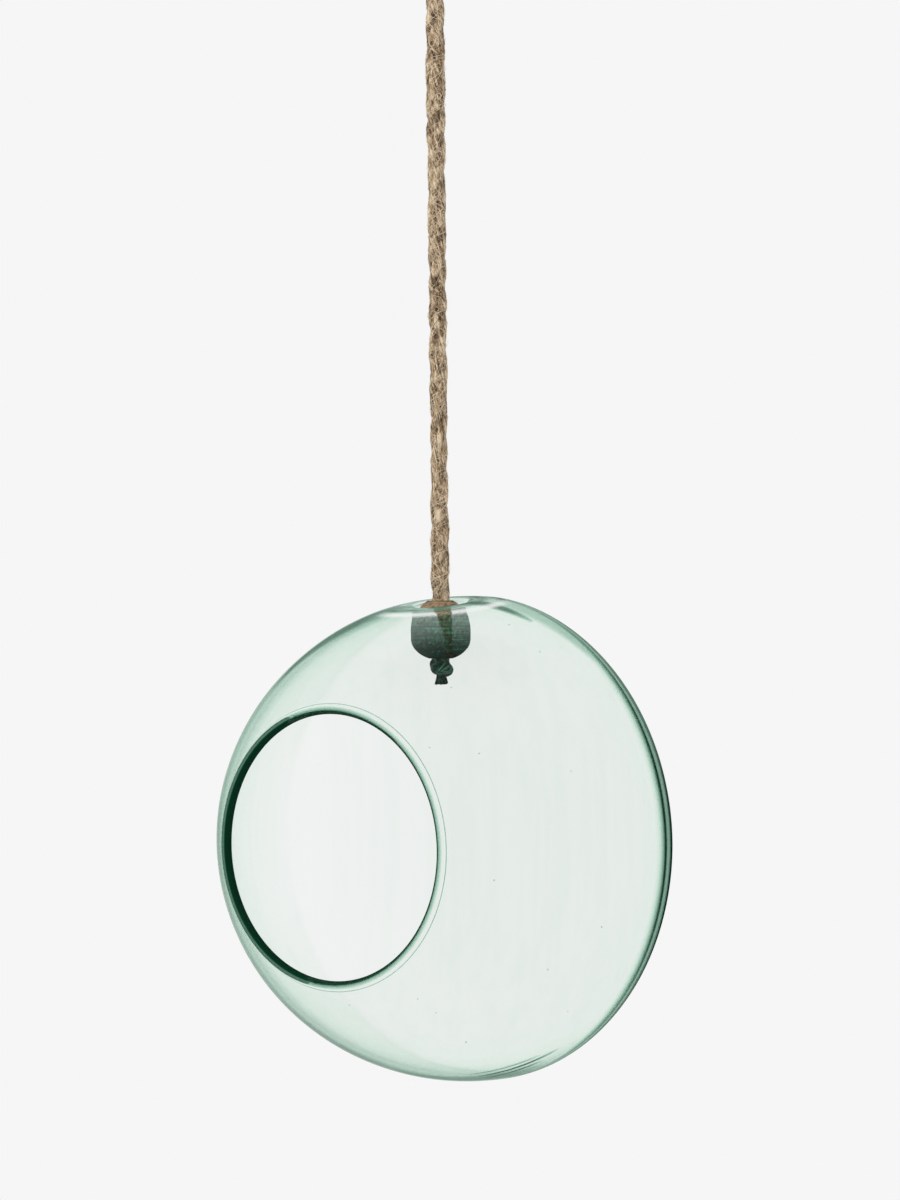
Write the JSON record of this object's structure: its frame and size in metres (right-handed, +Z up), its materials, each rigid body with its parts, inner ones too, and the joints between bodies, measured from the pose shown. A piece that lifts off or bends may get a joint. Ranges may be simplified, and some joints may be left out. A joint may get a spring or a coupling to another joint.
{
  "type": "hanging glass vessel",
  "caption": "Hanging pale green glass vessel: a shallow-backed globe with a wide round side mouth, hung on a wooden bead from a knotted jute rope with a loop, for cuttings, flowers or a candle.",
  "frame": {"origin": "middle of the hook's bar inside the top of the rope's loop, where the object hangs", "axes": "+Z up along the hanging rope, -Y out of the vessel's mouth, +X to the right of the mouth"},
  "size_m": [0.2094, 0.1241, 0.5588],
  "materials": {
    "green_glass": "clear hand-blown glass with a pale green tint, polished, with a few seeds",
    "turned_wood": "turned brown wood with fine tool rings, dry matt",
    "jute_rope": "natural jute, laid from three soft strands, with loose fibres"
  },
  "bodies": {
    "hanger": {"hanging_loop": "jute_rope", "loop_knot": "jute_rope", "loop_tail": "jute_rope"},
    "upper_rope": {"upper_rope": "jute_rope"},
    "lower_rope": {"lower_rope": "jute_rope", "stopper_knot": "jute_rope", "rope_tail": "jute_rope"},
    "bead": {"wooden_bead": "turned_wood"},
    "vessel": {"glass_vessel": "green_glass"}
  },
  "joints": [
    {"name": "rope_swing", "type": "hinge", "parent": "hanger", "child": "upper_rope", "pos_m": [0, 0, -0.07558], "axis": [1, 0, 0], "range_deg": [-30, 30]},
    {"name": "rope_bend", "type": "hinge", "parent": "upper_rope", "child": "lower_rope", "pos_m": [0, 0, -0.15958], "axis": [0, 1, 0], "range_deg": [-30, 30]},
    {"name": "bead_turn", "type": "hinge", "parent": "lower_rope", "child": "bead", "pos_m": [0, 0, -0.3485], "axis": [0, 0, 1], "continuous": true},
    {"name": "vessel_lift", "type": "slide", "parent": "bead", "child": "vessel", "axis": [0, 0, 1], "range_m": [0, 0.15]}
  ]
}
